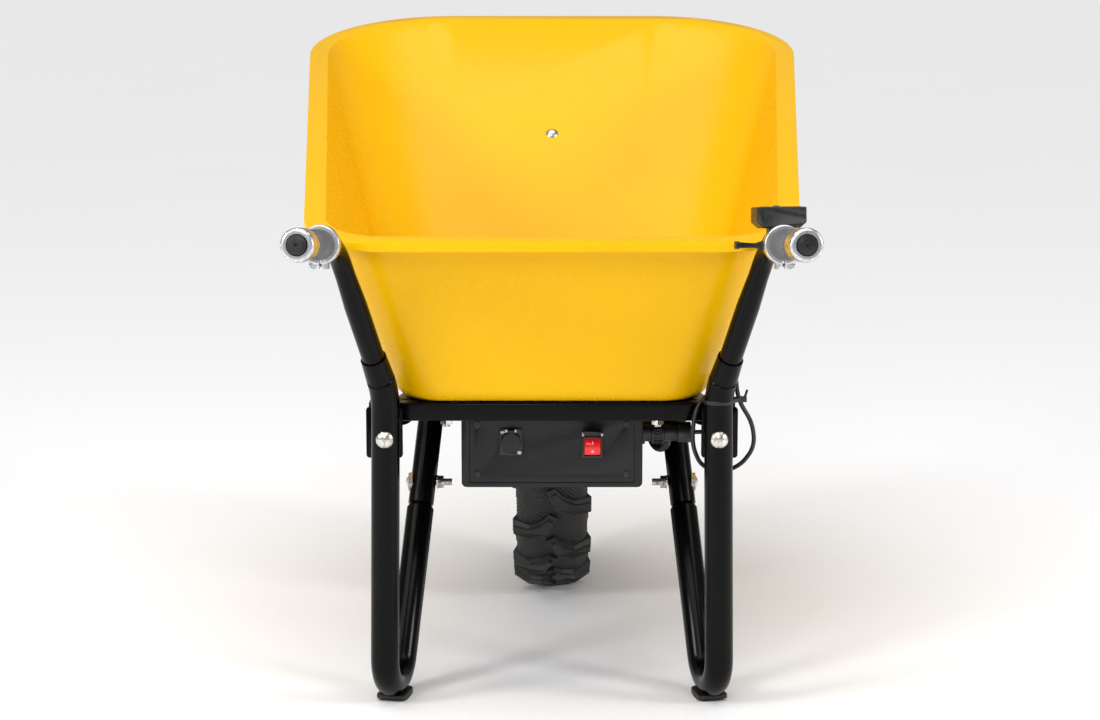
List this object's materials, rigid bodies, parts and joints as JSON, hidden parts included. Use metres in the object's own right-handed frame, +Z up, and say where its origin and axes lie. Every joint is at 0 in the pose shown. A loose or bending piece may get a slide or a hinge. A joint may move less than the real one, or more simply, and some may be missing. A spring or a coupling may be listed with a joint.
{
  "type": "power wheelbarrow",
  "caption": "Powered barrow: a deep flared tub on a bent tube frame with looped legs, ringed hand grips, a thumb throttle, a slung battery box and a driven front wheel.",
  "frame": {"origin": "on the floor, under the middle of the overall box", "axes": "+X to the driver's right, +Y the way it travels (wheel end), +Z up"},
  "size_m": [0.6504, 1.16, 0.755],
  "materials": {
    "tub_yellow": "glossy",
    "frame_black": "glossy",
    "zinc": "satin",
    "pad_rubber": "matt",
    "grip_rubber": "matt",
    "grip_alloy": "polished",
    "plug_black": "satin",
    "lens": "glossy",
    "button_grey": "satin",
    "spring_steel": "satin",
    "box_black": "satin",
    "battery": "matt",
    "controller_alloy": "satin",
    "rocker_red": "glossy",
    "tyre": "matt",
    "wheel_steel": "satin",
    "motor_alloy": "satin",
    "screw_dark": "satin",
    "cable_black": "satin"
  },
  "bodies": {
    "frame": {"axle": "spring_steel", "axle_end_cap": "pad_rubber", "axle_nuts": "zinc", "axle_plates": "frame_black", "axle_spacers": "zinc", "bar_plugs": "plug_black", "batteries": "battery", "box_body": "box_black", "box_hangers": "frame_black", "box_rear_panel": "box_black", "cable_tie": "plug_black", "cap_hinge": "spring_steel", "charging_socket": "plug_black", "coil_gland": "plug_black", "controller": "controller_alloy", "display_lens": "lens", "foot_pads": "pad_rubber", "front_brace": "frame_black", "front_crossmember": "frame_black", "grip_caps": "grip_alloy", "grip_rings": "grip_alloy", "grip_sleeves": "grip_rubber", "handle_left": "frame_black", "handle_right": "frame_black", "hood_hinge": "spring_steel", "leg_bolts": "zinc", "leg_left": "frame_black", "leg_plates": "frame_black", "leg_right": "frame_black", "leg_sleeves": "frame_black", "motor_cable": "cable_black", "motor_coil": "cable_black", "panel_screws": "box_black", "plug_body": "plug_black", "plug_nut": "plug_black", "plug_receptacle": "plug_black", "plug_ring": "plug_black", "rails": "frame_black", "rear_crossbar": "frame_black", "sleeve_bolts": "zinc", "socket_screws": "spring_steel", "stator": "motor_alloy", "switch_bezel": "plug_black", "throttle_cable": "cable_black", "throttle_housing": "plug_black", "throttle_spring": "spring_steel", "tub": "tub_yellow", "tub_bolts": "zinc"},
    "wheel": {"tyre": "tyre", "valve_stem": "tyre", "wheel_rim": "wheel_steel", "motor_shell": "motor_alloy", "motor_covers": "motor_alloy", "cover_screws": "screw_dark", "bearings": "spring_steel"},
    "thumb_lever": {"thumb_lever": "plug_black"},
    "rocker": {"switch_rocker": "rocker_red"},
    "hood": {"switch_hood": "plug_black"},
    "socket_cap": {"socket_cap": "plug_black"},
    "button": {"display_button": "button_grey"}
  },
  "joints": [
    {"name": "wheel_spin", "type": "hinge", "parent": "frame", "child": "wheel", "pos_m": [0, 0.325, 0.2], "axis": [1, 0, 0], "continuous": true},
    {"name": "throttle", "type": "hinge", "parent": "frame", "child": "thumb_lever", "pos_m": [0.23785, -0.43846, 0.55101], "axis": [0.0874, -0.9895, 0.1151], "range_deg": [0, 40], "stiffness_Nm_per_rad": 0.15},
    {"name": "rocker_tip", "type": "hinge", "parent": "frame", "child": "rocker", "pos_m": [0.0465, -0.18, 0.287], "axis": [1, 0, 0], "range_deg": [0, 10]},
    {"name": "hood_flip", "type": "hinge", "parent": "frame", "child": "hood", "pos_m": [0.0465, -0.1892, 0.303], "axis": [1, 0, 0], "range_deg": [0, 94]},
    {"name": "cap_flip", "type": "hinge", "parent": "frame", "child": "socket_cap", "pos_m": [-0.047, -0.1882, 0.3066], "axis": [1, 0, 0], "range_deg": [-110, 0], "stiffness_Nm_per_rad": 0.002},
    {"name": "button_press", "type": "slide", "parent": "frame", "child": "button", "axis": [0.0101, -0.1146, -0.9934], "range_m": [0, 0.0012], "stiffness_N_per_m": 800}
  ]
}
